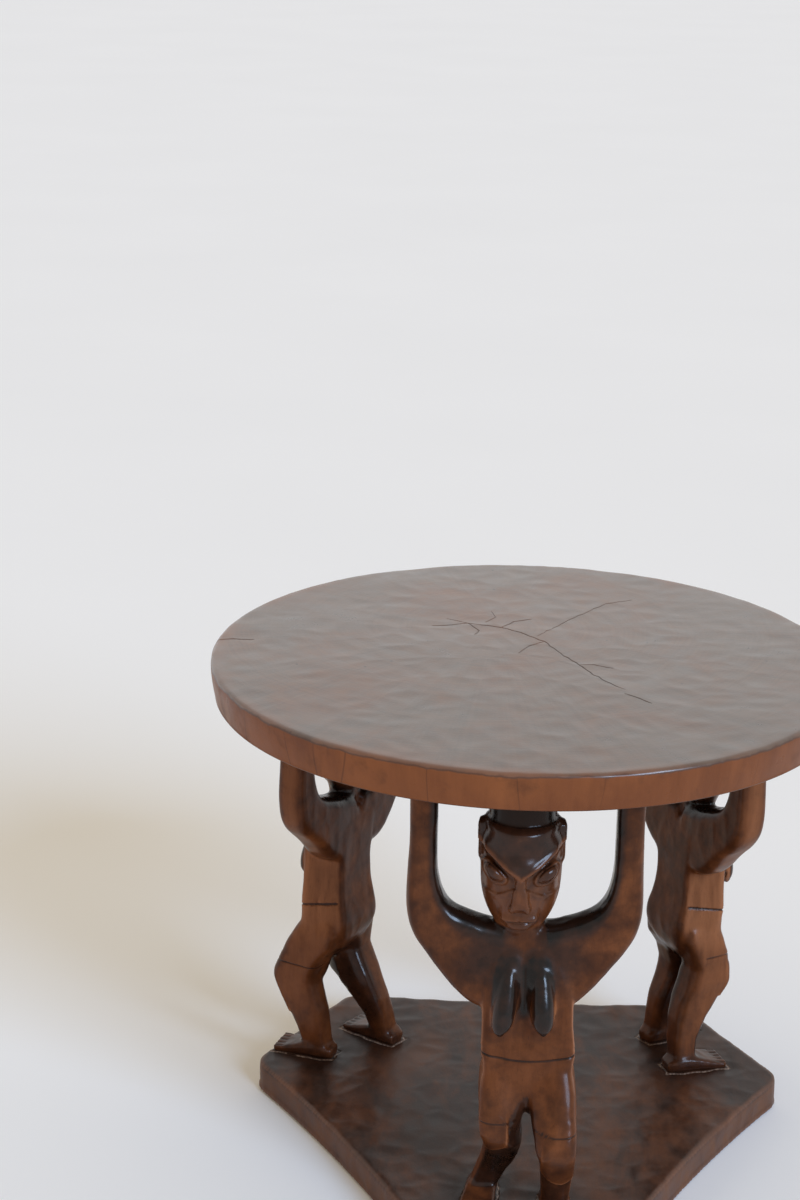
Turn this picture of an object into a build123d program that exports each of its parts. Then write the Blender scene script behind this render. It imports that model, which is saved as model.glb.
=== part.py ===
"""Low round table carried by three carved standing figures on a six-sided slab.

Everything is dense African hardwood. Five carved pieces make the table: the round top, the base slab and
three caryatid figures, each with both arms raised. Round pegs, glued into blind holes, join them: one in
the top of each forearm, a thicker one in each hair block, and one under each foot.

Frame: millimetres, +Z up, origin on the floor at the middle of the base. The front figure faces -Y.
A figure is carved in its own frame first: +X is its left hand, -Y is the way it faces, and z = 0 is the
sole of its feet. "Forward" values are distances along -Y from the figure's own upright axis.
"""

from build123d import *
import math
import os

# Top
TOP_DIAMETER = 600.0
TOP_THICKNESS = 36.0
TOP_RIM_BAND = 10.0  # upright band under the surface
TOP_RIM_TAPER = 4.0  # below the band the rim leans in by this much on the radius
TOP_UPPER_EDGE_RADIUS = 5.0
TOP_LOWER_EDGE_RADIUS = 3.0

# Whole table
TABLE_HEIGHT = 495.0
BASE_THICKNESS = 31.0
FIGURE_SETBACK = 97.0  # from the edge of the top in to the upright axis of each figure
FIGURE_AXIS_DISTANCE = TOP_DIAMETER / 2 - FIGURE_SETBACK
FIGURE_HEIGHT = TABLE_HEIGHT - TOP_THICKNESS - BASE_THICKNESS
FIGURE_DRAWN_HEIGHT = 428.0  # every height on a figure is drawn for this and rises with FIGURE_HEIGHT
FRONT_ANGLE = -90.0  # degrees, the side that the front figure looks out over

# The figures, counted round to the left of the front one. Each steps differently: how far the left shank
# and the right shank stand behind where they are drawn.
FIGURE_STEPS = {
    "front_figure": (0.0, 0.0),
    "right_figure": (9.0, 0.0),
    "left_figure": (0.0, 15.0),
}

# Base slab: three long scooped sides, and three short sides that the figures look out over
TOE_ROOM = 57.0  # from a figure's axis out to its short side
LONG_SIDE_OVERHANG = 6.0
BASE_SHORT_SIDE_DISTANCE = FIGURE_AXIS_DISTANCE + TOE_ROOM
BASE_LONG_SIDE_DISTANCE = FIGURE_AXIS_DISTANCE + LONG_SIDE_OVERHANG
BASE_SCOOP_DEPTH = 9.0
BASE_CORNER_RADIUS = 30.0
BASE_EDGE_RADIUS = 3.5
BASE_SHIFT = 6.0  # the slab was carved this much off centre, towards +X

# Pegs, each half in one piece and half in the other
FOREARM_PEG_DIAMETER = 12.0
FOREARM_PEG_LENGTH = 44.0
HEAD_PEG_DIAMETER = 25.0
HEAD_PEG_LENGTH = 48.0
FOOT_PEG_DIAMETER = 12.0
FOOT_PEG_LENGTH = 36.0
PEG_NODES = ("forearm_pegs", "head_pegs", "foot_pegs")
PEG_CLEARANCE = 0.1  # on the radius, for the glue
PEG_CHAMFER = 1.0
HOLE_END_CLEARANCE = 0.5

# Trunk: height, sideways, forward of the front face, forward of the back face, half width of the front
# face, half width of the back face, corner radius. The back is cut narrower than the front, and the
# buttocks jut out over the thighs.
TRUNK_SECTIONS = [
    (108, 7, 4, -7, 9, 7, 4),
    (117, 7, 15, -14, 23, 19, 7),
    (128, 8, 21, -21, 34, 28, 8),
    (140, 8, 23.5, -25, 41.5, 33, 8),
    (152, 8, 23.5, -26, 44, 33.5, 8),
    (164, 7.5, 22.5, -24, 45.5, 31, 7),
    (177, 7, 21.5, -21, 45.5, 28.5, 6),
    (192, 6.5, 21, -19.5, 45, 27.5, 6),
    (210, 6, 21, -19.5, 44.5, 28, 6),
    (228, 5, 21, -20, 44, 30, 7),
    (243, 4, 19, -20, 41, 31, 8),
    (256, 2, 15, -19, 35, 28, 8),
    (267, 0, 10, -17, 26, 22, 8),
]

# Arm: outer and inner edge of each section (sideways, height), then its half depth
ARM_FORWARD = -2.0
FOREARM_END_LENGTH = 14.0  # straight stretch between the last shaped section and the underside of the top
FOREARM_END_HEIGHT = FIGURE_DRAWN_HEIGHT - FOREARM_END_LENGTH
ARM_CORNER_SHARE = 0.72  # corner radius as a share of the section's smaller half size
ARM_SECTIONS = [
    ((4, 206), (4, 279), 17),
    ((34, 206), (26, 284), 17.5),
    ((54, 217), (43, 289), 17.5),
    ((70, 235), (58, 295), 17),
    ((86, 254), (69, 305), 16.5),
    ((99, 273), (75, 320), 16),
    ((105, 297), (77.5, 336), 15.5),
    ((105, 324), (78, 352), 15),
    ((104, 348), (78, 366), 15),
    ((103.5, 372), (78, 380), 14.5),
    ((103.5, 395), (78, 397), 14.5),
    ((103.5, FOREARM_END_HEIGHT), (78.5, FOREARM_END_HEIGHT), 14.5),
]

# Legs: height, sideways, forward, half width, half depth, corner radius. The left foot is a short step
# ahead of the right, which is set down further out.
HIP_HEIGHT = 137.0
KNEE_HEIGHT = 80.0
LEFT_LEG_SECTIONS = [
    (162, 28, 0, 11, 13, 7),
    (150, 29, 3, 18, 21, 9),
    (HIP_HEIGHT, 30, 6, 21, 26, 10),
    (122, 32, 13, 21, 27.5, 10),
    (105, 35, 23.5, 18.5, 23.5, 10),
    (88, 36.5, 31, 17.5, 23.5, 10),
    (KNEE_HEIGHT, 37, 31, 17, 23, 10),
    (68, 37, 26.5, 16.5, 21.5, 10),
    (50, 37.5, 18, 15.5, 20, 10),
    (30, 37.5, 11, 14, 16.5, 9),
    (4, 37, 4.5, 12.5, 13, 8),
]
RIGHT_LEG_SECTIONS = [
    (162, -12, 0, 11, 13, 7),
    (150, -13, 2, 18, 20, 9),
    (HIP_HEIGHT, -14, 4, 21, 23.5, 10),
    (122, -15, 9.5, 21, 22.5, 10),
    (105, -16.5, 14, 18.5, 21, 10),
    (88, -16.5, 12.5, 18, 23.5, 10),
    (KNEE_HEIGHT, -15.5, 10, 17.5, 23.5, 10),
    (68, -15.5, 3.5, 17, 22, 10),
    (50, -18, -7, 16, 17.5, 9),
    (30, -23, -15, 14, 13.5, 8),
    (4, -29, -19, 12.5, 11.5, 7),
]

# Feet: distance in front of the ankle, width, height and corner radius, from the heel to the toes
FOOT_SECTIONS = [
    (-18, 19, 9, 3.5),
    (-8, 27, 13, 4.5),
    (7, 29.5, 14, 4.5),
    (25, 31.5, 9.5, 3),
    (46, 33, 5.6, 2),
]
FOOT_TURN_OUT = 9.0  # degrees

# Neck
NECK_HALF_WIDTH = 17.0
NECK_HALF_DEPTH = 14.5
NECK_SIDEWAYS = 1.0
NECK_FORWARD = 1.0
NECK_BOTTOM = 245.0
NECK_TOP = 305.0

# Head: height, forward, half width, half depth, all shifted sideways by HEAD_SIDEWAYS. The lowest
# section is inside the neck, so that the chin grows out of it.
HEAD_SIDEWAYS = -4.0
HEAD_SECTIONS = [
    (268, 2, 9, 8),
    (277, 4, 13.5, 11.5),
    (284, 3, 20, 15.5),
    (292, 0.5, 26, 18.5),
    (303, -0.5, 31, 24.5),
    (316, -0.5, 34.5, 29.5),
    (330, -0.5, 36, 33),
    (348, -0.5, 36.5, 35),
    (366, -1, 36, 35),
    (385, -1, 34.5, 34),
]
HAIR_INSET = 4.5  # the hair block stands back from the edge of the forehead by this much
HAIR_OVERLAP = 6.0

# Face: heights on the head, and how far each form stands out
NOSE_ROOT_HEIGHT = 345.0
NOSE_TIP_HEIGHT = 319.0
NOSE_UNDER_HEIGHT = 312.0
NOSE_ROOT_FORWARD = 34.5
NOSE_TIP_FORWARD = 38.5
NOSE_UNDER_FORWARD = 30.5
NOSE_BACK_FORWARD = 20.0
NOSE_ROOT_HALF_WIDTH = 3.5
NOSE_TIP_HALF_WIDTH = 8.5
EYE_HEIGHT = 343.5
EYE_FORWARD = 25.0
EYE_SIDEWAYS = 20.0
EYE_HALF_SIZE = (10.5, 7.0, 6.0)
EYE_SLANT = 26.0  # degrees, outer corner up
LIP_HEIGHT = 297.0
LIP_FORWARD = 17.0
LIP_HALF_SIZE = (12.5, 7.0, 7.0)
EAR_TOP = 384.0
EAR_BOTTOM = 346.0
EAR_LOBES = 3
EAR_HALF_DEPTH = 7.0
EAR_LOBE_OVERLAP = 0.56  # half height of a lobe, as a share of their pitch
EAR_OUTER = 38.5
EAR_INNER = 28.0
EAR_FORWARD = 1.0

# Breasts: hanging, and drawn out to a point. For each, how far sideways it starts and how many degrees it
# leans towards the figure's left. The profile gives distances below the start and radii.
BREAST_STARTS = ((-11.0, -6.0), (17.5, 2.5))
BREAST_START_HEIGHT = 251.0
BREAST_START_FORWARD = 16.0
BREAST_TILT = 15.0  # degrees, the tip forward
BREAST_PROFILE = [(0, 0), (6, 5.5), (22, 9.5), (42, 11.5), (58, 9), (68, 4), (72, 0)]


def rise(height):
    """A drawn height on a figure, at the figure's real height."""
    return height * FIGURE_HEIGHT / FIGURE_DRAWN_HEIGHT


def trunk_section(height, sideways, front, back, front_half_width, back_half_width, corner_radius):
    """Level section of the trunk: four flat faces, the back one narrower, with rounded corners."""
    outline = make_face(
        Polyline(
            (-front_half_width, -front),
            (front_half_width, -front),
            (back_half_width, -back),
            (-back_half_width, -back),
            close=True,
        )
    )
    return Pos(sideways, 0, rise(height)) * fillet(outline.vertices(), corner_radius)


def leg_section(height, sideways, forward, half_width, half_depth, corner_radius):
    """Level section of a leg: a rounded rectangle."""
    outline = RectangleRounded(2 * half_width, 2 * half_depth, corner_radius)
    return Pos(sideways, -forward, rise(height)) * outline


def ellipsoid(half_size):
    """Ball stretched to three half sizes."""
    return scale(Sphere(1.0), by=half_size)


def trunk():
    """Hips, waist and chest in one smooth loft."""
    return loft([trunk_section(*section) for section in TRUNK_SECTIONS])


def arm(side):
    """Upper arm, elbow and forearm. side is 1 for the left arm and -1 for the right."""
    sections = []
    for (outer_x, outer_z), (inner_x, inner_z), half_depth in ARM_SECTIONS:
        outer = Vector(outer_x, -ARM_FORWARD, rise(outer_z))
        inner = Vector(inner_x, -ARM_FORWARD, rise(inner_z))
        across = (inner - outer).normalized()
        half_width = (inner - outer).length / 2
        along = Vector(0, 1, 0).cross(across)
        plane = Plane(origin=(outer + inner) / 2, x_dir=(0, 1, 0), z_dir=along)
        corner = ARM_CORNER_SHARE * min(half_width, half_depth)
        sections.append(plane * RectangleRounded(2 * half_depth, 2 * half_width, corner))
    left = loft(sections) + extrude(sections[-1], FIGURE_HEIGHT - rise(FOREARM_END_HEIGHT))
    return left if side > 0 else mirror(left, about=Plane.YZ)


def stepped(sections, step):
    """Leg sections with the shank set back by a step, which fades out from the knee up to the hip."""
    moved = []
    for height, sideways, forward, half_width, half_depth, corner_radius in sections:
        share = min(1.0, max(0.0, (HIP_HEIGHT - height) / (HIP_HEIGHT - KNEE_HEIGHT)))
        moved.append((height, sideways, forward - step * share, half_width, half_depth, corner_radius))
    return moved


def leg(sections, side):
    """Bent leg in flat-cut facets, from inside the hip down to the ankle, and its foot."""
    shank = loft([leg_section(*section) for section in sections], ruled=True)
    return shank + foot(sections[-1], side)


def foot(ankle, side):
    """Wedge-shaped foot under the last section of a leg, lofted from the heel to the toes."""
    _, sideways, forward, _, _, _ = ankle
    sections = []
    for ahead, width, height, corner_radius in FOOT_SECTIONS:
        plane = Plane(origin=(0, -ahead, height / 2), x_dir=(1, 0, 0), z_dir=(0, -1, 0))
        sections.append(plane * RectangleRounded(width, height, corner_radius))
    return Pos(sideways, -forward, 0) * Rot(0, 0, side * FOOT_TURN_OUT) * loft(sections)


def head():
    """Egg-shaped face under a flat-cut forehead, with the hair block that carries the top."""
    skull = loft([Pos(0, -forward, rise(height)) * Ellipse(a, b) for height, forward, a, b in HEAD_SECTIONS])
    crown_height, crown_forward, crown_half_width, crown_half_depth = HEAD_SECTIONS[-1]
    hair_bottom = rise(crown_height) - HAIR_OVERLAP
    hair_outline = Ellipse(crown_half_width - HAIR_INSET, crown_half_depth - HAIR_INSET)
    hair = extrude(Pos(0, -crown_forward, hair_bottom) * hair_outline, FIGURE_HEIGHT - hair_bottom)
    return skull + hair + nose() + eyes() + lips() + ears()


def nose():
    """Straight wedge nose: a side profile met by a front profile."""
    root, tip, under = rise(NOSE_ROOT_HEIGHT), rise(NOSE_TIP_HEIGHT), rise(NOSE_UNDER_HEIGHT)
    side_profile = make_face(
        Plane.YZ
        * Polyline(
            (-NOSE_BACK_FORWARD, root),
            (-NOSE_ROOT_FORWARD, root),
            (-NOSE_TIP_FORWARD, tip),
            (-NOSE_UNDER_FORWARD, under),
            (-NOSE_BACK_FORWARD, under),
            close=True,
        )
    )
    front_profile = make_face(
        Plane.XZ
        * Polyline(
            (-NOSE_ROOT_HALF_WIDTH, root),
            (NOSE_ROOT_HALF_WIDTH, root),
            (NOSE_TIP_HALF_WIDTH, under),
            (-NOSE_TIP_HALF_WIDTH, under),
            close=True,
        )
    )
    across = extrude(side_profile, NOSE_TIP_HALF_WIDTH, both=True)
    return across & extrude(front_profile, 2 * NOSE_TIP_FORWARD, both=True)


def eyes():
    """Two slanted almond bulges."""
    pair = []
    for side in (-1, 1):
        ball = Rot(0, -side * EYE_SLANT, 0) * ellipsoid(EYE_HALF_SIZE)
        pair.append(Pos(side * EYE_SIDEWAYS, -EYE_FORWARD, rise(EYE_HEIGHT)) * ball)
    return pair


def lips():
    """Small full mouth low on the face."""
    return Pos(0, -LIP_FORWARD, rise(LIP_HEIGHT)) * ellipsoid(LIP_HALF_SIZE)


def ears():
    """Upright ears with a scalloped edge."""
    bottom = rise(EAR_BOTTOM)
    pitch = (rise(EAR_TOP) - bottom) / EAR_LOBES
    lobe = Ellipse(EAR_HALF_DEPTH, EAR_LOBE_OVERLAP * pitch)
    outline = Sketch()
    for n in range(EAR_LOBES):
        outline += Pos(0, bottom + (n + 0.5) * pitch) * lobe
    pair = []
    for side in (-1, 1):
        origin = (side * EAR_INNER, -EAR_FORWARD, 0)
        plane = Plane(origin=origin, x_dir=(0, side, 0), z_dir=(side, 0, 0))
        pair.append(extrude(plane * outline, EAR_OUTER - EAR_INNER))
    return pair


def breasts():
    """A pair of pointed drops that lean away from the chest towards their tips."""
    points = [(radius, -below) for below, radius in BREAST_PROFILE]
    outline = Spline(*points) + Line(points[-1], points[0])
    drop = revolve(make_face(Plane.XZ * outline), Axis.Z)
    pair = []
    for sideways, lean in BREAST_STARTS:
        start = Pos(sideways, -BREAST_START_FORWARD, rise(BREAST_START_HEIGHT))
        pair.append(start * Rot(0, -lean, 0) * Rot(-BREAST_TILT, 0, 0) * drop)
    return pair


def neck():
    """Short neck between the chest and the jaw."""
    bottom = rise(NECK_BOTTOM)
    outline = Pos(NECK_SIDEWAYS, -NECK_FORWARD, bottom) * Ellipse(NECK_HALF_WIDTH, NECK_HALF_DEPTH)
    return extrude(outline, rise(NECK_TOP) - bottom)


def upper_body():
    """Everything above the legs, the same in all the figures."""
    return trunk() + arm(1) + arm(-1) + neck() + breasts() + Pos(HEAD_SIDEWAYS, 0, 0) * head()


def figure(body, steps):
    """One whole figure in its own frame, with its peg holes. steps are those of FIGURE_STEPS."""
    left_step, right_step = steps
    body = body + leg(stepped(LEFT_LEG_SECTIONS, left_step), 1)
    body += leg(stepped(RIGHT_LEG_SECTIONS, right_step), -1)
    for places, diameter, length in peg_plan(steps):
        body -= [place * peg_hole(diameter, length) for place in places]
    return body


def forearm_peg_places():
    """Middle of each forearm's end, in the figure's frame."""
    (outer, _), (inner, _), _ = ARM_SECTIONS[-1]
    middle = (outer + inner) / 2
    return [Pos(side * middle, -ARM_FORWARD, FIGURE_HEIGHT) for side in (-1, 1)]


def head_peg_places():
    """Middle of the hair block's end, in the figure's frame."""
    _, forward, _, _ = HEAD_SECTIONS[-1]
    return [Pos(HEAD_SIDEWAYS, -forward, FIGURE_HEIGHT)]


def foot_peg_places(steps):
    """Under the ankle of each foot, in the figure's frame."""
    places = []
    for sections, step in zip((LEFT_LEG_SECTIONS, RIGHT_LEG_SECTIONS), steps):
        _, sideways, forward, _, _, _ = stepped(sections, step)[-1]
        places.append(Pos(sideways, -forward, 0))
    return places


def peg_plan(steps):
    """Places, diameter and length of a figure's three kinds of peg, in the order of PEG_NODES."""
    return [
        (forearm_peg_places(), FOREARM_PEG_DIAMETER, FOREARM_PEG_LENGTH),
        (head_peg_places(), HEAD_PEG_DIAMETER, HEAD_PEG_LENGTH),
        (foot_peg_places(steps), FOOT_PEG_DIAMETER, FOOT_PEG_LENGTH),
    ]


def peg(diameter, length):
    """Round peg with chamfered ends, centred on the joint that it bridges."""
    dowel = Cylinder(diameter / 2, length)
    return chamfer(dowel.edges().filter_by(GeomType.CIRCLE), PEG_CHAMFER)


def peg_hole(diameter, length):
    """Room for a peg in both of the pieces that it joins."""
    return Cylinder(diameter / 2 + PEG_CLEARANCE, length + 2 * HOLE_END_CLEARANCE)


def table_top():
    """Thick disc, with a rim that leans in towards the underside and worn edges."""
    radius = TOP_DIAMETER / 2
    profile = make_face(
        Plane.XZ
        * Polyline(
            (0, 0),
            (radius - TOP_RIM_TAPER, 0),
            (radius, TOP_THICKNESS - TOP_RIM_BAND),
            (radius, TOP_THICKNESS),
            (0, TOP_THICKNESS),
            close=True,
        )
    )
    lower_edge = profile.vertices().group_by(Axis.Z)[0].sort_by(Axis.X)[-1]
    profile = fillet(lower_edge, TOP_LOWER_EDGE_RADIUS)
    upper_edge = profile.vertices().group_by(Axis.Z)[-1].sort_by(Axis.X)[-1]
    profile = fillet(upper_edge, TOP_UPPER_EDGE_RADIUS)
    return revolve(profile, Axis.Z)


def base_corner(short_angle, long_angle):
    """Where a short side of the slab meets the long side next to it."""
    toward_short = Vector(math.cos(math.radians(short_angle)), math.sin(math.radians(short_angle)))
    toward_long = Vector(math.cos(math.radians(long_angle)), math.sin(math.radians(long_angle)))
    cosine = toward_short.dot(toward_long)
    share_short = (BASE_SHORT_SIDE_DISTANCE - cosine * BASE_LONG_SIDE_DISTANCE) / (1 - cosine**2)
    share_long = (BASE_LONG_SIDE_DISTANCE - cosine * BASE_SHORT_SIDE_DISTANCE) / (1 - cosine**2)
    return toward_short * share_short + toward_long * share_long


def base_slab():
    """Triangle with its corners cut off square to the figures, and its long sides scooped in."""
    turn = 360 / len(FIGURE_STEPS)
    sides = []
    for n in range(len(FIGURE_STEPS)):
        short_angle = FRONT_ANGLE + n * turn
        long_angle = short_angle + turn / 2
        near = base_corner(short_angle, long_angle)
        far = base_corner(short_angle + turn, long_angle)
        scoop = BASE_LONG_SIDE_DISTANCE - BASE_SCOOP_DEPTH
        middle = Vector(math.cos(math.radians(long_angle)), math.sin(math.radians(long_angle))) * scoop
        sides.append(Line(base_corner(short_angle, short_angle - turn / 2), near))
        sides.append(ThreePointArc(near, middle, far))
    outline = make_face(sides)
    outline = fillet(outline.vertices(), BASE_CORNER_RADIUS)
    slab = extrude(outline, BASE_THICKNESS)
    rims = slab.edges().filter_by(lambda edge: abs(edge.tangent_at(0.5).Z) < 0.5)
    return Pos(BASE_SHIFT, 0, 0) * fillet(rims, BASE_EDGE_RADIUS)


def stand(number):
    """Where a figure's own frame stands on the slab. The figures are counted from the front one."""
    turn = 360 / len(FIGURE_STEPS)
    return Rot(0, 0, number * turn) * Pos(0, -FIGURE_AXIS_DISTANCE, BASE_THICKNESS)


os.makedirs("parts", exist_ok=True)

top = Pos(0, 0, TABLE_HEIGHT - TOP_THICKNESS) * table_top()
base = base_slab()
body = upper_body()
pegs = {name: [] for name in PEG_NODES}
for number, (figure_name, steps) in enumerate(FIGURE_STEPS.items()):
    export_step(stand(number) * figure(body, steps), f"parts/{figure_name}.step")
    for peg_name, (places, diameter, length) in zip(PEG_NODES, peg_plan(steps)):
        pegs[peg_name] += [stand(number) * place * peg(diameter, length) for place in places]
        holes = [stand(number) * place * peg_hole(diameter, length) for place in places]
        if peg_name == "foot_pegs":
            base -= holes
        else:
            top -= holes

export_step(top, "parts/table_top.step")
export_step(base, "parts/base_slab.step")
for peg_name, group in pegs.items():
    export_step(Compound(children=group), f"parts/{peg_name}.step")
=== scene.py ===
"""Looks of a low round table that three carved standing figures carry on a six-sided slab.

Metres, +Z up, the front figure faces -Y. Sections follow the table as it is put together: the room it
stands in, the base slab, the figures, the round top and the pegs.
"""

import functools
import math

import bmesh
import bpy
import numpy as np
from mathutils import Matrix, Vector, noise


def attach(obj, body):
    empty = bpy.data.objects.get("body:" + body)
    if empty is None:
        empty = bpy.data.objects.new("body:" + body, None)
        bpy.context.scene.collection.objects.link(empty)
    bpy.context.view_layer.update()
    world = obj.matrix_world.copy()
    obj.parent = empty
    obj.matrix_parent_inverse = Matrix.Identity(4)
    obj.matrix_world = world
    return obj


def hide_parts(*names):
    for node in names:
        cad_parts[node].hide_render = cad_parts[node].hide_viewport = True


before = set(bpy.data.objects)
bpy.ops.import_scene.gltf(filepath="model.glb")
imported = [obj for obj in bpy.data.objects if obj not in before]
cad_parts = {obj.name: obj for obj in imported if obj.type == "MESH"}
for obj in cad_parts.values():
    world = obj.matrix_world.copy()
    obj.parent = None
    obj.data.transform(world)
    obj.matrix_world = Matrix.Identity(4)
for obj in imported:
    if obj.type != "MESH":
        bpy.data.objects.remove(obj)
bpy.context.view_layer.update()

# ---------------------------------------------------------------------------------------------------------
# Room. A pale matt floor and a white surround, lit by one wide low window on the right and soft daylight
# from everywhere else. The camera looks down at the table from a little above its top.
# ---------------------------------------------------------------------------------------------------------

MM = 0.001

FLOOR_HALF_SIZE = 30.0
FLOOR_COLOURS = ("#edf2f9", "#f1f6fd")
FLOOR_MOTTLE = 667 * MM
FILL_COLOUR = "#f9e7cc"  # of the daylight that the walls send back
SEEN_COLOUR = "#e6e6e6"  # of the backdrop
SHINE_COLOUR = "#ffffff"  # of what gloss mirrors
WALL_STRENGTH = 0.9  # behind the table
ROOM_STRENGTH = 0.58  # behind the camera, where the room is darker
WINDOW_ELEVATION = math.radians(27)
WINDOW_BEARING = math.radians(-50)  # from +X, so the light comes from the right and a little in front
WINDOW_WIDTH = math.radians(26)
WINDOW_STRENGTH = 2.6
WINDOW_COLOUR = "#c4deff"

CAMERA_PLACE = (-0.05814, -2.20411, 1.25716)
CAMERA_YAW = 0.0288
CAMERA_PITCH = 0.3117
CAMERA_ROLL = 0.0198
CAMERA_LENS_MM = 73.84
CAMERA_SENSOR_MM = 36.0


def linear(hex_colour):
    """sRGB hex to the linear colour that shaders take."""
    channels = [int(hex_colour[i : i + 2], 16) / 255 for i in (1, 3, 5)]
    return tuple(c / 12.92 if c <= 0.04045 else ((c + 0.055) / 1.055) ** 2.4 for c in channels) + (1.0,)


def node(tree, kind, inputs=(), output=0, **settings):
    """Adds a shader node and gives back one of its outputs.

    inputs holds values for the first sockets in order, or for sockets by name or number: a number, a vector,
    a hex colour, or another node's output to link from.
    """
    made = tree.nodes.new("ShaderNode" + kind)
    for name, value in settings.items():
        setattr(made, name, value)
    for name, value in inputs.items() if isinstance(inputs, dict) else enumerate(inputs):
        if isinstance(value, bpy.types.NodeSocket):
            tree.links.new(value, made.inputs[name])
        else:
            made.inputs[name].default_value = linear(value) if isinstance(value, str) else value
    return made.outputs[output] if len(made.outputs) else None


def new_object(name, mesh):
    """Puts a mesh into the scene under a name."""
    made = bpy.data.objects.new(name, mesh)
    bpy.context.scene.collection.objects.link(made)
    return made


def new_material(name):
    """Empty material, and the function that adds a node to it."""
    material = bpy.data.materials.new(name)
    material.use_nodes = True
    material.node_tree.nodes.clear()
    return material, functools.partial(node, material.node_tree)


def floor_paint():
    """Matt white paint: a hint of mottling and no shine."""
    material, add = new_material("matt_white_floor")
    place = add("TexCoord", output="Object")
    cloud = add("TexNoise", {"Vector": place, "Scale": 1 / FLOOR_MOTTLE, "Detail": 3.0})
    tint = add("Mix", {0: cloud, 6: FLOOR_COLOURS[0], 7: FLOOR_COLOURS[1]}, 2, data_type="RGBA")
    paint = add("BsdfPrincipled", {"Base Color": tint, "Roughness": 0.9, "Specular IOR Level": 0.1})
    add("OutputMaterial", [paint])
    return material


def room():
    """Floor, surround, window light and camera."""
    sheet = bmesh.new()
    bmesh.ops.create_grid(sheet, x_segments=2, y_segments=2, size=FLOOR_HALF_SIZE)
    mesh = bpy.data.meshes.new("floor")
    sheet.to_mesh(mesh)
    sheet.free()
    floor = new_object("floor", mesh)
    mesh.materials.append(floor_paint())

    scene = bpy.context.scene
    scene.world = bpy.data.worlds.new("white_surround")
    scene.world.use_nodes = True
    scene.world.node_tree.nodes.clear()
    add = functools.partial(node, scene.world.node_tree)
    mirrored = add("LightPath", output="Is Glossy Ray")
    seen = add("LightPath", output="Is Camera Ray")
    colour = add("Mix", {0: mirrored, 6: FILL_COLOUR, 7: SHINE_COLOUR}, 2, data_type="RGBA")
    colour = add("Mix", {0: seen, 6: colour, 7: SEEN_COLOUR}, 2, data_type="RGBA")
    depth = add("SeparateXYZ", [add("TexCoord", output="Generated")], "Y")
    strength = add("MapRange", [depth, -0.4, 0.5, ROOM_STRENGTH, WALL_STRENGTH])
    strength = add("Math", [strength, seen], operation="MAXIMUM")
    add("OutputWorld", [add("Background", [colour, strength])])

    window = bpy.data.lights.new("window", "SUN")
    window.energy = WINDOW_STRENGTH
    window.angle = WINDOW_WIDTH
    window.color = linear(WINDOW_COLOUR)[:3]
    lamp = bpy.data.objects.new("window", window)
    scene.collection.objects.link(lamp)
    level = math.cos(WINDOW_ELEVATION)
    toward = Vector((math.cos(WINDOW_BEARING) * level, math.sin(WINDOW_BEARING) * level,
                     math.sin(WINDOW_ELEVATION)))
    lamp.rotation_euler = toward.to_track_quat("Z", "Y").to_euler()

    camera = bpy.data.objects.new("camera", bpy.data.cameras.new("camera"))
    scene.collection.objects.link(camera)
    camera.data.lens = CAMERA_LENS_MM
    camera.data.sensor_width = CAMERA_SENSOR_MM
    camera.location = CAMERA_PLACE
    turn = (Matrix.Rotation(CAMERA_YAW, 3, "Z") @ Matrix.Rotation(math.pi / 2 - CAMERA_PITCH, 3, "X")
            @ Matrix.Rotation(CAMERA_ROLL, 3, "Z"))
    camera.rotation_euler = turn.to_euler()
    scene.camera = camera
    scene.view_settings.view_transform = "Standard"


room()

# ---------------------------------------------------------------------------------------------------------
# Base slab. One thick plank of dark hardwood with its corners cut off and its long sides scooped in. The
# top was levelled with an adze, which leaves shallow bowls, and years of polish have darkened it. The
# carver's chisel has left a pale line round each foot.
# ---------------------------------------------------------------------------------------------------------

ROOT = "root"
SLAB_THICKNESS = 31 * MM
SLAB_VOXEL = 2.9 * MM
SLAB_BOWL = 30 * MM
SLAB_BOWL_DEPTH = 0.9 * MM
SLAB_WAVE = 70 * MM
SLAB_WAVE_DEPTH = 0.9 * MM
SLAB_SIDE_WAVE = 2.2 * MM
SLAB_FLAT = SLAB_THICKNESS / MM - 3  # height in millimetres over which only the top face is

# Sizes of the patches, smears and pores in the wood of the slab
SLAB_PATCH = 76.92 * MM
SLAB_SMEAR = 18.18 * MM
SLAB_PORE = 2.381 * MM

# Where the feet stand, in millimetres. For each figure its turn about the table, then for the left and the
# right foot the middle of the ankle: sideways, and in front of the figure's axis.
FIGURE_AXIS = 203.0
FEET = {
    "front_figure": (0.0, (37, 4.5), (-29, -19)),
    "right_figure": (120.0, (37, -4.5), (-29, -19)),
    "left_figure": (240.0, (37, 4.5), (-29, -34)),
}
FOOT_TURN_OUT = math.radians(9)
FOOT_LENGTHS = (-18, -8, 7, 25, 46)
FOOT_HALF_WIDTHS = (9.5, 13.5, 14.75, 15.75, 16.5)
# The chisel's line round a foot, and the painted shade that darkens the slab round it, in millimetres
FOOT_LINE_OFF = 1.3
FOOT_LINE_HALF_WIDTH = 1.6
FOOT_LINE_DEPTH = 0.7
FOOT_SHADE_REACH = 24.0


def cad_copy(name):
    """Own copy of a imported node's mesh, with its loose triangles sewn together."""
    copy = bmesh.new()
    copy.from_mesh(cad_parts[name].data)
    bmesh.ops.remove_doubles(copy, verts=copy.verts, dist=1e-6)
    return copy


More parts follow.
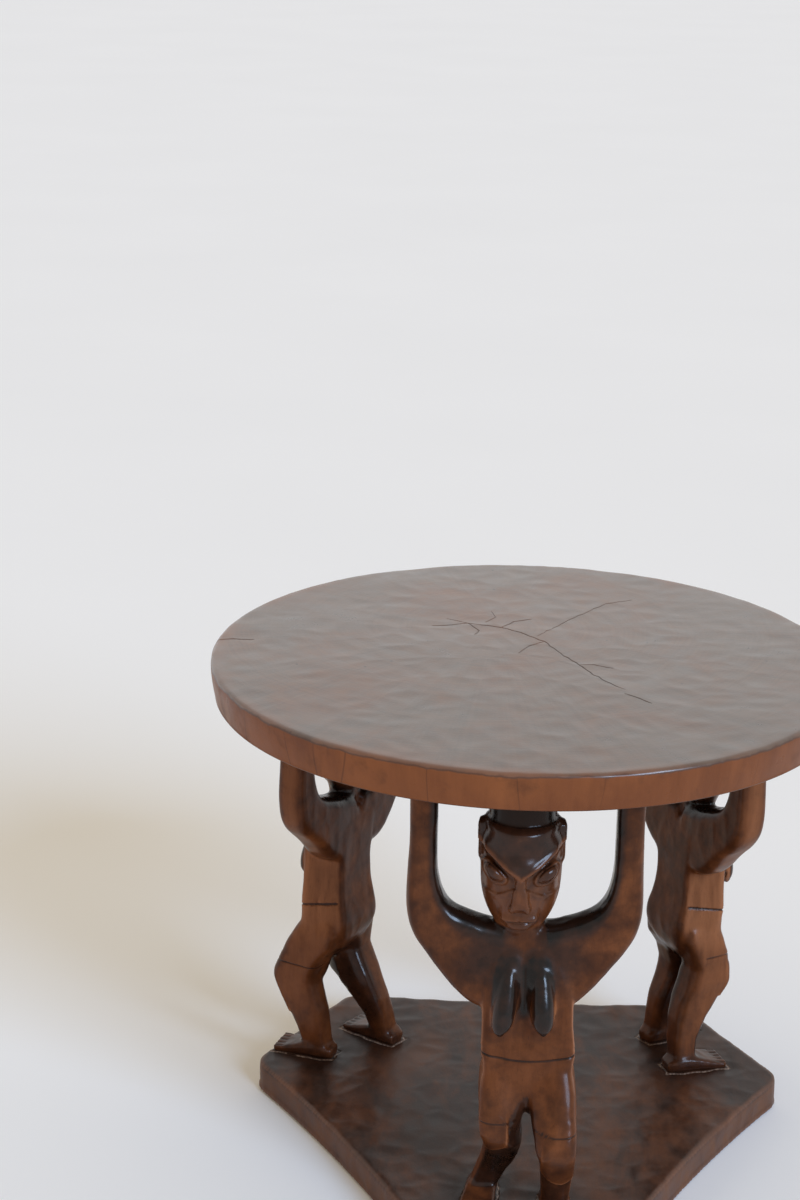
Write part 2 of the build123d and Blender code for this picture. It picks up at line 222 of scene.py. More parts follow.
def evenly_netted(carving, voxel):
    """The same form as an even net of small squares, which can be cut, smoothed and worn."""
    mesh = bpy.data.meshes.new("blank")
    carving.to_mesh(mesh)
    carving.free()
    blank = new_object("blank", mesh)
    remesh = blank.modifiers.new("net", "REMESH")
    remesh.mode = "VOXEL"
    remesh.voxel_size = voxel
    seen = blank.evaluated_get(bpy.context.evaluated_depsgraph_get())
    even = bpy.data.meshes.new_from_object(seen)
    bpy.data.objects.remove(blank)
    bpy.data.meshes.remove(mesh)
    net = bmesh.new()
    net.from_mesh(even)
    bpy.data.meshes.remove(even)
    return net


def smoothed(net, rounds, factor=0.5, verts=None):
    """Rubs a net down, all over or only at some vertices."""
    for _ in range(rounds):
        bmesh.ops.smooth_vert(net, verts=net.verts if verts is None else verts, factor=factor,
                              use_axis_x=True, use_axis_y=True, use_axis_z=True)


def places_and_normals(net):
    """Two arrays of three columns: where each vertex is, and which way its surface faces."""
    net.normal_update()
    places = np.array([vert.co for vert in net.verts])
    normals = np.array([vert.normal for vert in net.verts])
    return places, normals


def moved_to(net, places):
    """Puts the vertices of a net at new places."""
    for vert, place in zip(net.verts, places):
        vert.co = place


def ramp(values, start, end):
    """Smooth step from 0 at start to 1 at end, for numbers or arrays."""
    share = np.clip((values - start) / (end - start), 0.0, 1.0)
    return share * share * (3 - 2 * share)


def bowls(places, size, seed):
    """0 on the ridges between adze cuts, 1 in the middle of each cut, for every place."""
    shift = Vector((seed, 1.7 * seed, 0.3 * seed))
    near = [noise.voronoi(Vector(place) / size + shift)[0] for place in places]
    return np.array([min(1.0, (d[1] - d[0]) * 1.6) for d in near])


def waves(places, size, seed):
    """Smooth noise from -1 to 1 for every place."""
    shift = Vector((seed, 2.3 * seed, 0.6 * seed))
    return np.array([noise.noise(Vector(place) / size + shift) for place in places])


def halved(net, wanted):
    """Halves the faces of a net whose middles, in millimetres and as columns, are wanted."""
    middles = np.array([face.calc_center_median() for face in net.faces]) / MM
    chosen = wanted(*middles.T)
    edges = {edge for face, near in zip(net.faces, chosen) if near for edge in face.edges}
    bmesh.ops.subdivide_edges(net, edges=list(edges), cuts=1, use_grid_fill=True)


def groove(distance, half_width):
    """Depth from 0 to 1 of a rounded groove, from the distance to its middle line."""
    return np.clip(1 - (distance / half_width) ** 2, 0, 1) ** 1.5


def foot_frame(x, forward, ankle):
    """Sideways and lengthways distances from the middle of an ankle, along a foot turned outwards."""
    turn = math.copysign(FOOT_TURN_OUT, ankle[0])
    across, ahead = x - ankle[0], forward - ankle[1]
    return (across * math.cos(turn) - ahead * math.sin(turn),
            across * math.sin(turn) + ahead * math.cos(turn))


def off_feet(x, y):
    """Distance of each place on the slab from the nearest foot's outline, less than 0 under a foot."""
    nearest = np.full(len(x), 1e9)
    for turn, left_ankle, right_ankle in FEET.values():
        angle = math.radians(turn)
        sideways = x * math.cos(angle) + y * math.sin(angle)
        forward = x * math.sin(angle) - y * math.cos(angle) - FIGURE_AXIS
        for ankle in (left_ankle, right_ankle):
            across, ahead = foot_frame(sideways, forward, ankle)
            beside = np.abs(across) - np.interp(ahead, FOOT_LENGTHS, FOOT_HALF_WIDTHS)
            beyond = np.maximum(FOOT_LENGTHS[0] - ahead, ahead - FOOT_LENGTHS[-1])
            nearest = np.minimum(nearest, np.maximum(beside, beyond))
    return nearest


def mound(distance, width):
    """Rounded hill: 1 where the distance is 0, falling off smoothly over a width."""
    return np.exp(-((distance / width) ** 2))


def finished(net, name, material):
    """Turns a finished net into a named piece with soft shading, riding on the table."""
    mesh = bpy.data.meshes.new(name)
    net.to_mesh(mesh)
    net.free()
    mesh.polygons.foreach_set("use_smooth", [True] * len(mesh.polygons))
    mesh.materials.append(material)
    piece = new_object(name, mesh)
    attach(piece, ROOT)
    return piece


def marked(piece, name, values):
    """Stores a value for each vertex of a piece, which its material reads by the same name."""
    piece.data.attributes.new(name, "FLOAT", "POINT").data.foreach_set("value", values)


def slab_wood():
    """Dark waxed plank: wide figure along Y, reddish where feet and cloths have worn the stain away."""
    material, add = new_material("dark_waxed_slab")
    place = add("TexCoord", output="Object")
    along = add("Mapping", {"Vector": place, "Scale": (1.3, 0.65, 1.0)})
    patch = add("TexNoise", {"Vector": along, "Scale": 1 / SLAB_PATCH, "Detail": 6.0, "Roughness": 0.6,
                             "Distortion": 0.5})
    smear = add("TexNoise", {"Vector": along, "Scale": 1 / SLAB_SMEAR, "Detail": 5.0, "Roughness": 0.6})
    pore = add("TexNoise", {"Vector": along, "Scale": 1 / SLAB_PORE, "Detail": 4.0})
    uneven = add("MapRange", [smear, 0.3, 0.7, 0.0, 1.0])

    smoky = add("MapRange", [smear, 0.35, 0.68, 0.0, 1.0])
    wood = add("Mix", {0: smoky, 6: "#291b15", 7: "#44312a"}, 2, data_type="RGBA")
    worn = add("Mix", {0: uneven, 6: "#452718", 7: "#673f29"}, 2, data_type="RGBA")
    # Painted shade: the slab is darkened round each foot, where the figures stand on it
    feet_shade = add("Math", [add("Attribute", output="Fac", attribute_name="feet_shade"),
                         add("MapRange", [smear, 0.35, 0.65, 0.25, 0.85])], operation="MULTIPLY")
    height = add("SeparateXYZ", [place], "Z")
    side = add("MapRange", [height, SLAB_THICKNESS - 3 * MM, SLAB_THICKNESS - 6 * MM, 0.0, 1.0])
    flank = add("Mix", {0: uneven, 6: "#482b1d", 7: "#654029"}, 2, data_type="RGBA")
    edge = add("MapRange", [add("NewGeometry", output="Pointiness"), 0.51, 0.56, 0.0, 0.5])
    chisel = add("Math", [add("Attribute", output="Fac", attribute_name="chisel"),
                          add("MapRange", [pore, 0.4, 0.6, 0.3, 1.0])], operation="MULTIPLY")
    for share, layer in (
        (add("MapRange", [patch, 0.45, 0.62, 0.0, 0.85]), worn),
        (feet_shade, "#1e130e"),
        (side, flank),
        (edge, "#8a6350"),
        (chisel, "#a08a7b"),
    ):
        wood = add("Mix", {0: share, 6: wood, 7: layer}, 2, data_type="RGBA")

    relief = add("Math", [pore, smear])
    grain = add("Bump", {"Height": relief, "Strength": 0.25, "Distance": 0.4 * MM})
    wax = add("BsdfPrincipled", {"Base Color": wood, "Normal": grain, "Specular IOR Level": 0.15,
                                 "Roughness": add("MapRange", [smear, 0.3, 0.7, 0.3, 0.52]),
                                 "Coat Weight": 0.12, "Coat Roughness": 0.25})
    add("OutputMaterial", [wax])
    return material


def base_slab():
    """The slab, adzed all over, with sides that were never quite straight."""
    slab = evenly_netted(cad_copy("base_slab"), SLAB_VOXEL)
    smoothed(slab, 2)
    for reach in (6.0, 4.5):
        halved(slab, lambda x, y, z: (np.abs(off_feet(x, y) - 1.0) < reach) & (z > SLAB_FLAT))
    places, normals = places_and_normals(slab)
    off = off_feet(places[:, 0] / MM, places[:, 1] / MM)
    wobble = waves(places, 9 * MM, 11.0)
    foot_line = groove(off - FOOT_LINE_OFF - wobble, FOOT_LINE_HALF_WIDTH) * (places[:, 2] > SLAB_FLAT * MM)
    above = ramp(places[:, 2], 3 * MM, 8 * MM)
    top = ramp(normals[:, 2], 0.4, 0.9)
    cut = bowls(places, SLAB_BOWL, 3.0) * SLAB_BOWL_DEPTH
    dip = (waves(places, SLAB_WAVE, 4.0) + 1) / 2 * SLAB_WAVE_DEPTH
    level = places * np.array([1, 1, 0.25])
    hewn = (waves(level, SLAB_WAVE, 9.0) + 1) / 2 * SLAB_SIDE_WAVE
    depth = top * (cut + dip) + (1 - top) * (hewn + cut * 0.6) + foot_line * FOOT_LINE_DEPTH * MM
    moved_to(slab, places - normals * (depth * above)[:, None])
    piece = finished(slab, "adzed_base_slab", slab_wood())
    marked(piece, "chisel", foot_line * (waves(places, 14 * MM, 12.0) > -0.15))
    # Painted shade round the feet, fading with distance from them
    marked(piece, "feet_shade", mound(np.maximum(off, 0), FOOT_SHADE_REACH))
    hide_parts("base_slab")


base_slab()

# ---------------------------------------------------------------------------------------------------------
# Figures. Each was cut from the round with an adze and a knife, in flat facets: chest, flanks, thighs and
# shanks. Grooves mark the waist and the knees. The deep places, the hair and the breasts hold a black
# stain, and hands have worn the raised faces back to a warm brown. Painted shade darkens the deep places,
# the valley under the arms and the arch between the legs further, and painted light brightens the flanks.
# ---------------------------------------------------------------------------------------------------------

FIGURE_VOXEL = 1.73 * MM

# Sizes on a figure are in millimetres: x to its left, forward from its axis, and z up from its soles
FIGURE_HEIGHT = 428.0
HEAD_MIDDLE = -4.8
HEAD_REACH = 45
FACE_REACH = 42
CROWN = 385.0
TRUNK_MIDDLE = 8.0
ARCH_MIDDLE = 8.5

# Heights of the waist groove and of the grooves over the right and the left knee, how much higher than drawn
# each figure's armpits were cut, and how far in its right shank stands
CUTS = {
    "front_figure": (157.7, 99.5, 95.5, -5.0, 4.0),
    "right_figure": (165.0, 117.5, 111.0, 8.0, 0.0),
    "left_figure": (163.0, 106.0, 98.0, 11.0, 0.0),
}
WAIST_HALF_WIDTH = 1.3
WAIST_DEPTH = 1.3
KNEE_HALF_WIDTH = 0.9
TOE_WIDTH = 6.6
TOE_CUT_HALF_WIDTH = 1.1
TOE_CUT_DEPTH = 0.9

# The face: the brow's middle, the eye's middle and half sizes, and the top of the cheek, the tip of the nose
# and the parting of the lips
BROW_HEIGHT = 337.8
EYE_MIDDLE = (23.0, 342.6)
EYE_SLANT = math.radians(38)
EYE_HALF_LENGTH = 12.8
EYE_ABOVE = 6.2
EYE_BELOW = 10.6
EYE_BULGE = 5.4
CHEEK_TOP = 333.6
NOSE_TIP = 306.0
LIPS_PARTING = 293.6
NOSE_AND_LIPS_LOWERED = 4.8
FACE_HEIGHTS = (284, 292, 303, 316, 330)
FACE_HALF_WIDTHS = (18.5, 26.5, 32.5, 36, 37.5)

# Inner edge of the raised arms, from the neck over the shoulder and up to the wrist
ARM_INSIDE = [Vector(point) for point in ((12, 281), (26, 284), (43, 289), (58, 295), (69, 305), (75, 320),
                                          (77.5, 336), (78, 440))]
# Each breast's middle line, seen from the front
BREAST_LINES = [[Vector(point) for point in line] for line in (((-12, 249), (-18, 186)),
                                                               ((15, 249), (20.5, 186)))]
BREAST_HEIGHTS = (184, 205, 235, 250)
BREAST_HALF_WIDTHS = (8.5, 10.5, 13.5, 11.5)
BREAST_CHEST = (23, 22, 19, 17.5)  # how far forward the chest is there
BREAST_SWELL_HEIGHTS = (184, 205, 232, 257)
BREAST_SWELL = (4, 10.5, 7, 0)  # how far they stand out of it
BREAST_TIPS_RAISED = 4.5
BELLY_FORWARD = 25.5
# The thighs' front facets end in a rounded tongue: sideways place of its middle, half its width, height of
# its end and how round that end is
TONGUES = ((-22.0, 13.5, 68.5, 0.035), (39.7, 17.5, 38.8, 0.055))
TONGUE_STANDS_OUT = 1.7
# Where the right thigh's front facet breaks off towards the other leg: heights, and sideways places there
BREAK_HEIGHTS = (100, 104, 114, 123)
BREAK_SIDEWAYS = (-8.5, -7.5, -2.5, 5.5)
BREAK_SLOPE = 0.85
ARCH_LOWERED = 15.0  # front edge of the arch between the legs
THIGHS_CLOSER = 1.6

# Flat cuts of the knife and slow unevenness: size over the surface, and depth in millimetres
KNIFE_CUT = 19 * MM
KNIFE_CUT_DEPTH = 0.45
SWAY = 45 * MM
SWAY_DEPTH = 0.2

# Painted light: the flanks and the outer legs are painted lighter where they face sideways, by height
SIDE_LIGHT_HEIGHTS = (20, 60, 125, 165, 215, 250)
SIDE_LIGHT_AMOUNTS = (0.0, 0.04, 0.08, 0.3, 0.3, 0.12)

# Sizes of the streaks, pores, patches and smears in the wood of the figures
FIGURE_STREAK = 5.882 * MM
FIGURE_PORE = 0.6667 * MM
FIGURE_PATCH = 38.46 * MM
FIGURE_SMEAR = 11.11 * MM


def band(values, start, full, fading, gone):
    """1 from full to fading, going smoothly down to 0 at start and at gone."""
    return ramp(values, start, full) * ramp(values, gone, fading)


def waist_line(x, forward, height):
    """Height of the waist groove: lowest in front, rising a little round the flanks."""
    return height + 0.0026 * (x - TRUNK_MIDDLE) ** 2 + 0.2 * np.clip(20 - forward, 0, 40)


def waist_and_knees(x, forward, z, waist, right_knee, left_knee):
    """How deep the grooves are, from 0 to 1. They stop where the narrow back begins."""
    flank = ramp(forward, -19, -15) * (np.abs(x - TRUNK_MIDDLE) < 52)
    cut = groove(z - waist_line(x, forward, waist), WAIST_HALF_WIDTH) * flank
    for side, knee in ((-1, right_knee), (1, left_knee)):
        outer = ramp(side * (x - TRUNK_MIDDLE), 6, 9) * ramp(forward, 0, 6)
        line = knee + 0.004 * (x - TRUNK_MIDDLE - 24 * side) ** 2
        cut = np.maximum(cut, groove(z - line, KNEE_HALF_WIDTH) * outer * 0.85)
    return cut


def tongues(x, z, front):
    """1 on the worn front facets of the thighs, 0 beside and below them, and their rounded edge."""
    facet, edge = np.zeros(len(x)), np.zeros(len(x))
    for middle, half_width, end, roundness in TONGUES:
        off = np.minimum(z - end - roundness * (x - middle) ** 2, half_width - np.abs(x - middle))
        near = ramp(front, 0.25, 0.5) * ramp(z, end + 52, end + 30)
        facet = np.maximum(facet, near * ramp(off, -0.7, 0.9))
        edge = np.maximum(edge, near * mound(off - 0.6, 1.5))
    return facet, edge


def past_break(x, z):
    """Sideways distance past the break of the right thigh's facet, up to the gap between the legs."""
    past = np.clip(x - np.interp(z, BREAK_HEIGHTS, BREAK_SIDEWAYS), 0, 12)
    return past * band(z, 54, 66, 121, 127) * ramp(x, 11, 4)


def toe_cuts(x, forward, z, ankles):
    """Notches between the toes, from 0 to 1."""
    cut = np.zeros(len(x))
    for ankle in ankles:
        across, ahead = foot_frame(x, forward, ankle)
        tip = ramp(ahead, 33, 37) * (ahead < 50) * ramp(z, 14, 9) * (np.abs(across) < 15)
        off = (across + TOE_WIDTH / 2) % TOE_WIDTH - TOE_WIDTH / 2
        cut = np.maximum(cut, groove(off, TOE_CUT_HALF_WIDTH) * tip)
    return cut


def away_from(points, x, y):
    """Distance of each place to a line of points, and the share of the line passed, as two arrays."""
    nearest = np.full(len(x), 1e9)
    passed = np.zeros(len(x))
    for n, (a, b) in enumerate(zip(points, points[1:])):
        run = b - a
        share = np.clip(((x - a.x) * run.x + (y - a.y) * run.y) / run.length_squared, 0, 1)
        gap = np.hypot(x - a.x - share * run.x, y - a.y - share * run.y)
        closer = gap < nearest
        nearest = np.where(closer, gap, nearest)
        passed = np.where(closer, (n + share) / (len(points) - 1), passed)
    return nearest, passed


def brow_line(across):
    """Height of the V-shaped brow at a distance from the middle of the face."""
    return BROW_HEIGHT + 0.86 * across - 0.0035 * across**2


def eye_reach(across, z):
    """Distance from the middle of an almond eye, as a share of the distance to its rim."""
    aside, above = across - EYE_MIDDLE[0], z - EYE_MIDDLE[1]
    along = aside * math.cos(EYE_SLANT) + above * math.sin(EYE_SLANT)
    over = above * math.cos(EYE_SLANT) - aside * math.sin(EYE_SLANT)
    return np.hypot(along / EYE_HALF_LENGTH, over / np.where(over > 0, EYE_ABOVE, EYE_BELOW))


def face(x, z, front):
    """How far the carved face stands out of the plain egg of the head, in millimetres."""
    across = np.abs(x - HEAD_MIDDLE)
    on_face = ramp(front, 0.0, 0.3) * band(z, 279, 288, CROWN - 5, CROWN - 0.5) * (across < HEAD_REACH)
    # How far each spot is above the brow, the fold over the eye and the cheek, square to those slanting lines
    brow = (z - brow_line(across)) * 0.72
    fold = (z - 341.0 - 0.8 * (across - 12.4)) * 0.77
    cheek = z - CHEEK_TOP + 0.62 * np.minimum(across, 21)

    forehead = ramp(brow, -1.3, 0.9) + mound(brow - 1.9, 2.2) * 1.7 * ramp(across, 33, 28)
    dome = mound(across, 17) * mound(z - 351, 9.5) * 4.2
    under = ramp(-brow, -0.5, 1.3) * ramp(cheek, -0.6, 1.4) * ramp(across, 3.5, 7.0)
    socket = under * (2.2 + 1.6 * ramp(fold, -2.5, 1.0))
    reach = eye_reach(across, z)
    ball = np.sqrt(np.clip(1 - reach**2, 0, 1)) * EYE_BULGE
    lids = (mound(reach - 1.0, 0.11) * 1.7 - groove(reach - 0.8, 0.11) * 1.2) * (brow < -1)
    crease = groove(cheek - 0.2, 1.3) * band(across, 2, 4, 20, 25)
    bevel = mound(cheek + 3.2, 2.8) * 0.8 * band(across, 3, 7, 18, 25)

    half_nose = 2.7 + 0.155 * np.clip(340 - z, 0, 32)
    nose = ramp(across, half_nose + 1.6, half_nose - 0.7) * 1.9 * band(z, NOSE_TIP, NOSE_TIP + 2.4, 336, 346)
    wings = mound(across - 6.6, 3.0) * mound(z - NOSE_TIP - 4.8, 3.4) * 1.9
    nostrils = mound(across - 4.4, 1.7) * mound(z - NOSE_TIP - 0.4, 1.3) * 1.9

    smile = z - LIPS_PARTING - 0.004 * across**2
    upper = mound(smile - 3.9, 3.1) * (4.3 - 0.9 * mound(across, 1.7))
    lower = mound(smile + 4.4, 3.9) * 3.4 * ramp(across, 15.0, 4.0)
    lips = (upper + lower - groove(smile, 1.1) * 1.5) * ramp(across, 18.0, 12.0)

    eyes = ball + lids - socket
    return (1.1 * forehead + dome + eyes - crease + bevel + nose + wings - nostrils + lips) * on_face


def off_breasts(x, z):
    """Distance from the nearest breast's outline, seen from the front, less than 0 inside it."""
    nearest = np.min([away_from(line, x, z)[0] for line in BREAST_LINES], axis=0)
    return nearest - np.interp(z, BREAST_HEIGHTS, BREAST_HALF_WIDTHS)


def stain_and_shade(x, forward, z, front, facet):
    """How dark each spot is painted, from 0 to 1: the darkest of the layers of black stain and painted shade
    there.
    """
    side = np.abs(x)
    facing = ramp(front, 0.0, 0.5)
    squarely = ramp(front, 0.3, 0.6)

    across = np.abs(x - HEAD_MIDDLE)
    brow = z - brow_line(across)
    head = ramp(z, 284, 292) * (across < HEAD_REACH)
    half_face = np.interp(z, FACE_HEIGHTS, FACE_HALF_WIDTHS)
    off_jaw = 1 - (across < half_face) * ramp(z, 283, 288) * ramp(front, -0.2, 0.3)
    hair = ramp(z, CROWN - 0.5, CROWN + 1.5) * (across < HEAD_REACH)
    forehead = head * (ramp(brow, 2, 7) * 0.6 - mound(brow - 1.5, 3.5) * 0.1)
    cheeks = head * (0.06 + 0.3 * ramp(z, 314, 336)) * ramp(brow, 1, -2)
    cheeks = cheeks - 0.2 * mound(eye_reach(across, z) - 1, 0.14) * ramp(front, 0.2, 0.5)
    temples = head * ramp(front, 0.45, 0.0) * ramp(z, 298, 322) * 0.62
    lips = head * (across < 17) * mound(z - 290, 6) * squarely * 0.24

    spread = np.interp(side, (20, 60, 74, 80), (24, 17, 9, 8)) * (0.4 + 0.6 * ramp(front, -0.4, 0.2))
    off_throat = 1 - ramp(np.abs(x - 2), 21, 14) * squarely * ramp(z, 292, 284)
    # Black stain, and painted shade, in the valley along the inner edge of the arms
    valley_stain_and_shade = mound(away_from(ARM_INSIDE, side, z)[0], spread) * off_throat * off_jaw * ramp(z, 236, 262)
    chest = band(z, 205, 250, 300, 345) * (0.55 - 0.3 * ramp(side, 36, 66)) * facing * off_jaw
    chest = chest * (1 - 0.7 * mound(x - 2, 13) * ramp(z, 252, 268))
    arms = ramp(side, 40, 70) * ramp(z, 225, 255) * 0.2 * facing
    off_breast = off_breasts(x, z)
    proud = ramp(forward, np.interp(z, (184, 215, 250), (24, 22.5, 18.5)),
                 np.interp(z, (184, 250), (26, 21.5)))
    proud = np.maximum(proud, ramp(z, 198, 216))
    breasts = ramp(off_breast, 1, -1) * proud * ramp(z, 266, 254) * facing * 0.92
    round_breasts = mound(np.maximum(off_breast, 0), 9) * band(z, 212, 244, 262, 276) * facing * 0.62
    between = mound(x - 3, 6) * band(z, 194, 208, 246, 262) * facing

    behind = ramp(front, 0.05, -0.6) * 0.16 * ramp(z, 60, 130)
    # Painted shade in the arch between the legs
    crotch_shade = mound(x - 9, 8) * band(z, 60, 100, 108, 118) * 0.8
    shanks = ramp(z, 90, 74) * (0.5 + 0.2 * (x < TRUNK_MIDDLE)) * (1 - facet) * ramp(front, 0.2, 0.6)
    inward = ramp(z, 130, 112) * ramp(np.abs(x - TRUNK_MIDDLE), 24, 12) * ramp(front, 0.85, 0.4) * 0.52
    soles = ramp(z, 30, 5) * 0.38
    thighs = band(z, 36, 60, 116, 134) * 0.24 * facing
    broken = ramp(past_break(x, z), 0.2, 1.2) * ramp(front, -0.2, 0.2) * (0.5 + 0.3 * ramp(z, 112, 80))
    layers = [hair, forehead, cheeks, temples, lips, valley_stain_and_shade, chest, arms, breasts, round_breasts, between,
              behind, crotch_shade, shanks, inward, soles, thighs, broken]
    return np.clip(np.max(layers, axis=0), 0, 1)


def carved_wood():
    """Knife-finished hardwood: upright grain, a black stain that hands have worn off, painted shade in the
    hollows, and a waxy polish.
    """
    material, add = new_material("carved_stained_wood")
    place = add("TexCoord", output="Object")
    along = add("Mapping", {"Vector": place, "Scale": (1.0, 1.0, 0.09)})
    streak = add("TexNoise", {"Vector": along, "Scale": 1 / FIGURE_STREAK, "Detail": 5.0, "Roughness": 0.6,
                              "Distortion": 0.3})
    pore = add("TexNoise", {"Vector": along, "Scale": 1 / FIGURE_PORE, "Detail": 2.0})
    patch = add("TexNoise", {"Vector": place, "Scale": 1 / FIGURE_PATCH, "Detail": 5.0, "Roughness": 0.6})
    smear = add("TexNoise", {"Vector": place, "Scale": 1 / FIGURE_SMEAR, "Detail": 4.0})
    # The stain attribute holds the black stain together with painted shade and painted light
    stain = add("Attribute", output="Fac", attribute_name="stain")

    bare = add("Math", [add("MapRange", [stain, 0.0, -0.5, 0.0, 1.1]),
                        add("MapRange", [streak, 0.3, 0.7, 0.65, 1.0])], operation="MULTIPLY")
    uneven = add("Math", [stain, add("MapRange", [smear, 0.3, 0.7, -0.14, 0.14])])
    uneven = add("Math", [uneven, add("MapRange", [patch, 0.35, 0.65, 0.16, -0.1])])
    # Painted shade: ambient occlusion darkens the deep places and creases, on top of the black stain they
    # hold
    hollow_shade = add("AmbientOcclusion", {"Distance": 16 * MM}, "AO", samples=8)
    black = add("Math", [uneven, add("MapRange", [hollow_shade, 0.7, 0.28, 0.0, 0.75])], operation="MAXIMUM")
    edges = add("MapRange", [add("NewGeometry", output="Pointiness"), 0.52, 0.6, 0.0, 0.5])
    worn = add("Math", [edges, add("MapRange", [smear, 0.3, 0.6, 0.2, 1.0])], operation="MULTIPLY")
    worn = add("Math", [worn, add("MapRange", [stain, 0.5, 0.9, 1.0, 0.35])], operation="MULTIPLY")

    share = add("MapRange", [streak, 0.3, 0.7, 0.2, 0.8])
    wood = add("Mix", {0: share, 6: "#502b15", 7: "#6b3c21"}, 2, data_type="RGBA")
    for share, layer in (
        (add("MapRange", [patch, 0.42, 0.7, 0.0, 0.6]), "#7c492a"),
        (bare, "#a96f4a"),
        (add("MapRange", [black, 0.0, 0.5, 0.0, 1.0]), "#3b2115"),
        (add("MapRange", [black, 0.5, 1.0, 0.0, 1.0]), "#110b08"),
        (add("MapRange", [stain, 0.95, 1.0, 0.0, 0.9]), "#24150e"),
        (worn, "#8f5a3a"),
        (add("MapRange", [pore, 0.62, 0.75, 0.0, 0.35]), "#24140e"),
    ):
        wood = add("Mix", {0: share, 6: wood, 7: layer}, 2, data_type="RGBA")

    relief = add("Math", [add("Math", [streak, 0.6], operation="MULTIPLY"), add("Math", [pore, smear])])
    grain = add("Bump", {"Height": relief, "Strength": 0.2, "Distance": 0.16 * MM})
    shine = add("Math", [add("MapRange", [patch, 0.3, 0.7, 0.28, 0.42]),
                         add("Math", [stain, -0.06], operation="MULTIPLY")])
    polish = add("Math", [add("MapRange", [stain, 0.25, 0.9, 0.12, 0.5]),
                          add("MapRange", [stain, 0.94, 1.0, 1.0, 0.25])], operation="MULTIPLY")
    handled = add("Attribute", output="Fac", attribute_name="handled")
    handled = add("Math", [handled, 0.42], operation="MULTIPLY")
    polish = add("Math", [polish, handled], operation="MAXIMUM")
    wax = add("BsdfPrincipled", {"Base Color": wood, "Roughness": shine, "Normal": grain,
                                 "Specular IOR Level": 0.1, "Coat Weight": polish, "Coat Roughness": 0.17})
    add("OutputMaterial", [wax])
    return material


def recut(net, armpit, shank_in):
    """Moves the forms that the carver cut away from the drawn ones: arms, breasts, face, belly and legs."""
    places, _ = places_and_normals(net)
    x, y, z = (places / MM).T
    lift = armpit * band(z, 152, 206, 228, 282) * ramp(np.abs(x - TRUNK_MIDDLE), 16, 34)
    tips = BREAST_TIPS_RAISED * ramp(z, 198, 183) * ramp(-y, 22, 26) * (z > 165)
    places[:, 2] += (lift + tips) * MM
    lowered = band(z, 281, 297, 334, 356) * ramp(np.abs(x - HEAD_MIDDLE), 19, 12) * (y < -10)
    arch = band(z, 58, 100, 128, 162) * ramp(np.abs(x - ARCH_MIDDLE), 26, 12) * ramp(-y, -8, 14)
    places[:, 2] -= (NOSE_AND_LIPS_LOWERED * lowered + ARCH_LOWERED * arch) * MM
    places[:, 1] += BREAK_SLOPE * past_break(x, z) * ramp(-y, 0, 16) * MM
    places[:, 0] += shank_in * band(z, 8, 46, 60, 96) * (x < 8) * MM

    across = 1 + off_breasts(x, z) / np.interp(z, BREAST_HEIGHTS, BREAST_HALF_WIDTHS)
    swell = np.interp(z, BREAST_SWELL_HEIGHTS, BREAST_SWELL) * np.sqrt(np.clip(1 - across**2, 0, 1))
    wedge = np.interp(z, BREAST_HEIGHTS, BREAST_CHEST) + swell
    places[:, 1] -= np.clip(wedge + y, 0, 10) * (across < 1) * (y < -8) * ramp(z, 188, 196) * MM
    apron = band(z, 112, 128, 162, 178) * ramp(np.abs(x - TRUNK_MIDDLE), 40, 32) * (y < 0)
    level = BELLY_FORWARD - 0.004 * (x - TRUNK_MIDDLE) ** 2 - 0.045 * np.clip(138 - z, 0, 30) ** 1.5
    places[:, 1] -= np.clip(level + y, 0, 14) * apron * MM
    moved_to(net, places)

    belly = (z > 108) & (z < 172) & (y < -2)
    bust = (z > 186) & (z < 266) & (y < -14) & (off_breasts(x, z) < 3)
    shin = (past_break(x, z) > 0.2) & (y < 6)
    for region, rounds in ((belly, 24), (bust, 9), (shin, 7)):
        smoothed(net, rounds, verts=[vert for vert, inside in zip(net.verts, region) if inside])


